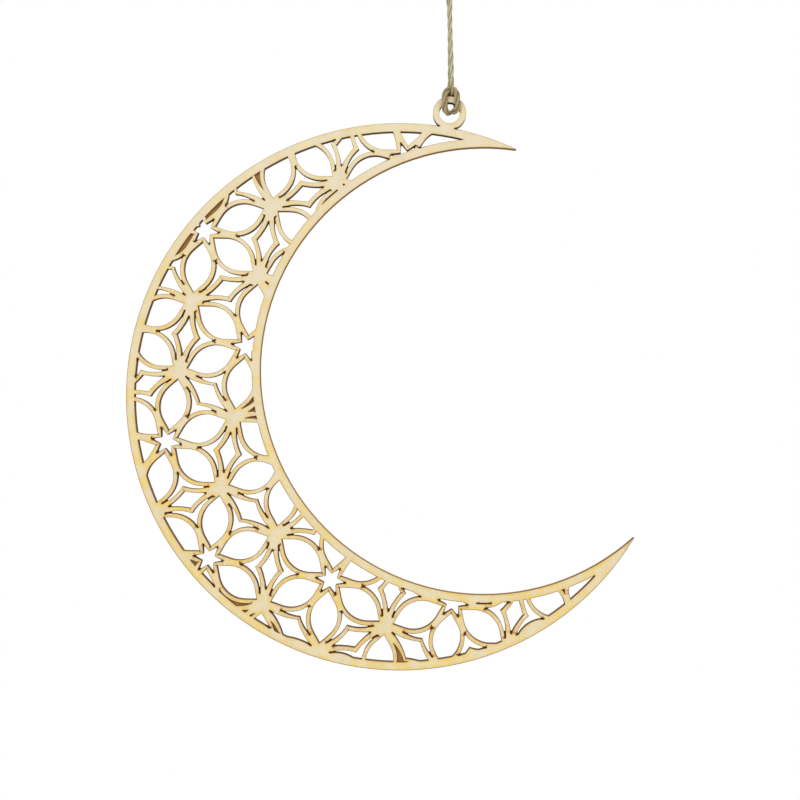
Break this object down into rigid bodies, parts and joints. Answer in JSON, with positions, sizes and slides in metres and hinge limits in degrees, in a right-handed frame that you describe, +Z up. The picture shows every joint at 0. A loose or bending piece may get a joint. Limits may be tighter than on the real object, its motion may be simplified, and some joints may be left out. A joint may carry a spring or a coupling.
{
  "type": "crescent hanging ornament",
  "caption": "Flat plywood crescent moon cut through with star and petal fretwork, with a small ring at its top, hung from a knotted loop of jute twine.",
  "frame": {"origin": "the hook's bearing point, inside the top of the twine loop", "axes": "+Z up along the twine, -Y towards the viewer of the front face, +X to the right as the front is seen"},
  "size_m": [0.1726, 0.0091, 0.2595],
  "materials": {
    "face_birch": "bare sanded birch with scorched cut edges",
    "core_birch": "cross-grain ply, laser-charred at every cut",
    "jute": "three-ply jute twine"
  },
  "bodies": {
    "cord": {"left_strand": "jute", "right_strand": "jute", "end_knot": "jute"},
    "hitch": {"hitch": "jute"},
    "crescent": {"front_veneer": "face_birch", "core_veneer": "core_birch", "back_veneer": "face_birch"}
  },
  "joints": [
    {"name": "crescent_turn", "type": "hinge", "parent": "cord", "child": "hitch", "pos_m": [0.00045, 0, -0.0425], "axis": [0, 0, 1], "range_deg": [-180, 180]},
    {"name": "ring_swing", "type": "hinge", "parent": "hitch", "child": "crescent", "pos_m": [0, 0, -0.0545], "axis": [0, 1, 0], "range_deg": [-60, 60]}
  ]
}
